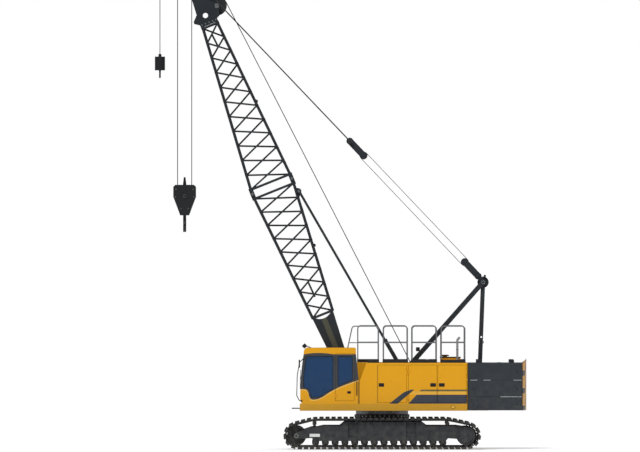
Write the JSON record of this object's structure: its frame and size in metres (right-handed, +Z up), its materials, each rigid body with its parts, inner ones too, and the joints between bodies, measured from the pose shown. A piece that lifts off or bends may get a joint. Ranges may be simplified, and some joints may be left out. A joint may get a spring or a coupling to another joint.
{
  "type": "crawler crane",
  "caption": "Crawler crane with a two-section lattice boom, mast gantry, cab and hooks; it slews, luffs and hoists on fixed track loops.",
  "frame": {"origin": "on the ground under the slewing axis", "axes": "+X forward, +Y the crane's left, +Z up"},
  "size_m": [10.7719, 4.35, 14.146],
  "materials": {
    "structure": "dark grey enamel, worn at edges",
    "track_shoes": "dark rolled steel, worn",
    "rollers": "machined and worn",
    "machined": "oiled steel",
    "deck": "yellow enamel",
    "body_paint": "yellow enamel, satin",
    "cab_glass": "tinted glass",
    "pale_pipe": "pale grey heat-proof enamel",
    "seat_cloth": "dark woven cloth",
    "engine": "dark cast iron",
    "counterweight": "dark grey enamel on cast iron",
    "hazard_board": "amber and black bands",
    "rail_tube": "mid grey enamel",
    "sheaves": "cast iron, bright grooves",
    "wire_rope": "galvanised wire rope",
    "hook_black": "black enamel"
  },
  "bodies": {
    "undercarriage": {"carbody": "structure", "slew_ring_lower": "machined", "track_left": "track_shoes", "track_right": "track_shoes", "track_frame_left": "structure", "track_frame_right": "structure", "rollers_left": "rollers", "rollers_right": "rollers", "idler_left": "rollers", "idler_right": "rollers", "final_drive_left": "structure", "final_drive_right": "structure"},
    "upperworks": {"slew_ring_upper": "machined", "revolving_frame": "deck", "cab_shell": "body_paint", "cab_glass": "cab_glass", "cab_fittings": "structure", "air_cleaner": "body_paint", "exhaust_and_vent": "pale_pipe", "operator_seat": "seat_cloth", "hood_left": "body_paint", "hood_right": "body_paint", "engine_block": "engine", "winch_stand": "structure", "gantry_front_legs": "structure", "gantry_rear_legs": "structure", "gantry_head": "structure", "counterweight_bottom": "counterweight", "counterweight_middle": "counterweight", "counterweight_top": "counterweight", "hazard_board": "hazard_board", "guard_rails": "rail_tube"},
    "cab_door": {"cab_door": "body_paint", "cab_door_glass": "cab_glass"},
    "hood_door_left_front": {"hood_door_left_front": "body_paint"},
    "hood_door_left_middle": {"hood_door_left_middle": "body_paint"},
    "hood_door_left_rear": {"hood_door_left_rear": "body_paint"},
    "hood_door_right_front": {"hood_door_right_front": "body_paint"},
    "hood_door_right_rear": {"hood_door_right_rear": "body_paint"},
    "winch_drum_main": {"winch_drum_main": "machined"},
    "winch_drum_auxiliary": {"winch_drum_auxiliary": "machined"},
    "winch_drum_boom": {"winch_drum_boom": "machined"},
    "boom": {"boom_lower": "structure", "boom_upper": "structure", "boom_head": "structure"},
    "tip_sheaves": {"tip_sheaves": "sheaves"},
    "deflector_sheaves": {"deflector_sheaves": "sheaves"},
    "front_sheave": {"front_sheave": "sheaves"},
    "lower_spreader": {"lower_spreader": "structure", "luffing_falls": "wire_rope"},
    "upper_spreader": {"upper_spreader": "structure", "pendants": "wire_rope"},
    "backstop_sleeves": {"backstop_sleeves": "structure"},
    "backstop_rods": {"backstop_rods": "machined"},
    "main_hoist_line": {"main_falls": "wire_rope"},
    "main_hook_block": {"main_hook_block": "hook_black"},
    "main_hook": {"main_hook": "hook_black"},
    "auxiliary_line": {"auxiliary_rope": "wire_rope"},
    "auxiliary_weight": {"auxiliary_weight": "hook_black"},
    "auxiliary_hook": {"auxiliary_hook": "hook_black"}
  },
  "joints": [
    {"name": "slew", "type": "hinge", "parent": "undercarriage", "child": "upperworks", "pos_m": [0, 0, 1.003], "axis": [0, 0, 1], "continuous": true},
    {"name": "boom_luff", "type": "hinge", "parent": "upperworks", "child": "boom", "pos_m": [0.87, 0, 1.76], "axis": [0, 1, 0], "range_deg": [-11.9, 38.1]},
    {"name": "suspension_swing", "type": "hinge", "parent": "upperworks", "child": "lower_spreader", "pos_m": [-2.787, 0, 5.005], "axis": [0, 1, 0], "range_deg": [-11.21, 34.79]},
    {"name": "suspension_run", "type": "slide", "parent": "lower_spreader", "child": "upper_spreader", "axis": [0.6887, 0, 0.725], "range_m": [-0.9695, 3.0822], "deforming": ["luffing_falls"]},
    {"name": "backstop_swing", "type": "hinge", "parent": "upperworks", "child": "backstop_sleeves", "pos_m": [-0.82, 0, 1.88], "axis": [0, 1, 0], "range_deg": [-10.76, 33.34]},
    {"name": "backstop_run", "type": "slide", "parent": "backstop_sleeves", "child": "backstop_rods", "axis": [0.4998, 0, 0.8662], "range_m": [-0.2883, 0.9011]},
    {"name": "main_line_hang", "type": "hinge", "parent": "boom", "child": "main_hoist_line", "pos_m": [5.72292, 0, 13.4969], "axis": [0, 1, 0], "range_deg": [-38.6, 12.4]},
    {"name": "main_hoist", "type": "slide", "parent": "main_hoist_line", "child": "main_hook_block", "axis": [0, 0, 1], "range_m": [-0.6, 2.5], "deforming": ["main_falls"]},
    {"name": "main_hook_swivel", "type": "hinge", "parent": "main_hook_block", "child": "main_hook", "pos_m": [5.72292, 0, 6.8], "axis": [0, 0, 1], "continuous": true},
    {"name": "auxiliary_line_hang", "type": "hinge", "parent": "boom", "child": "auxiliary_line", "pos_m": [6.23435, 0, 13.93797], "axis": [0, 1, 0], "range_deg": [-38.6, 12.4]},
    {"name": "auxiliary_hoist", "type": "slide", "parent": "auxiliary_line", "child": "auxiliary_weight", "axis": [0, 0, 1], "range_m": [-4, 1.5], "deforming": ["auxiliary_rope"]},
    {"name": "auxiliary_hook_swivel", "type": "hinge", "parent": "auxiliary_weight", "child": "auxiliary_hook", "pos_m": [6.43965, 0, 11], "axis": [0, 0, 1], "continuous": true},
    {"name": "tip_sheave_spin", "type": "hinge", "parent": "boom", "child": "tip_sheaves", "pos_m": [5.72292, 0, 13.4969], "axis": [0, 1, 0], "continuous": true},
    {"name": "deflector_sheave_spin", "type": "hinge", "parent": "boom", "child": "deflector_sheaves", "pos_m": [4.78609, 0, 12.84746], "axis": [0, 1, 0], "continuous": true},
    {"name": "front_sheave_spin", "type": "hinge", "parent": "boom", "child": "front_sheave", "pos_m": [6.23435, 0, 13.93797], "axis": [0, 1, 0], "continuous": true},
    {"name": "main_drum_spin", "type": "hinge", "parent": "upperworks", "child": "winch_drum_main", "pos_m": [-1.456, 0.23, 1.87], "axis": [0, 1, 0], "continuous": true},
    {"name": "auxiliary_drum_spin", "type": "hinge", "parent": "upperworks", "child": "winch_drum_auxiliary", "pos_m": [-1.456, -0.23, 1.87], "axis": [0, 1, 0], "continuous": true},
    {"name": "boom_drum_spin", "type": "hinge", "parent": "upperworks", "child": "winch_drum_boom", "pos_m": [-2.28, 0, 1.75], "axis": [0, 1, 0], "continuous": true},
    {"name": "cab_door_hinge", "type": "hinge", "parent": "upperworks", "child": "cab_door", "pos_m": [1.352, 1.617, 1.6], "axis": [0, 0, 1], "range_deg": [-90, 0]},
    {"name": "hood_door_left_front_hinge", "type": "hinge", "parent": "upperworks", "child": "hood_door_left_front", "pos_m": [-0.712, 1.617, 1.6], "axis": [0, 0, 1], "range_deg": [0, 90]},
    {"name": "hood_door_left_middle_hinge", "type": "hinge", "parent": "upperworks", "child": "hood_door_left_middle", "pos_m": [-0.756, 1.617, 1.6], "axis": [0, 0, 1], "range_deg": [-90, 0]},
    {"name": "hood_door_left_rear_hinge", "type": "hinge", "parent": "upperworks", "child": "hood_door_left_rear", "pos_m": [-2.44, 1.617, 1.6], "axis": [0, 0, 1], "range_deg": [0, 90]},
    {"name": "hood_door_right_front_hinge", "type": "hinge", "parent": "upperworks", "child": "hood_door_right_front", "pos_m": [-0.712, -1.617, 1.6], "axis": [0, 0, 1], "range_deg": [-90, 0]},
    {"name": "hood_door_right_rear_hinge", "type": "hinge", "parent": "upperworks", "child": "hood_door_right_rear", "pos_m": [-0.756, -1.617, 1.6], "axis": [0, 0, 1], "range_deg": [0, 90]}
  ],
  "couplings": [
    {"joint": "suspension_swing", "follows": "boom_luff", "ratio": 0.9},
    {"joint": "suspension_run", "follows": "boom_luff", "m_per_rad": 4.62},
    {"joint": "backstop_swing", "follows": "boom_luff", "ratio": 0.862},
    {"joint": "backstop_run", "follows": "boom_luff", "m_per_rad": 1.34},
    {"joint": "main_line_hang", "follows": "boom_luff", "ratio": -1},
    {"joint": "auxiliary_line_hang", "follows": "boom_luff", "ratio": -1}
  ]
}
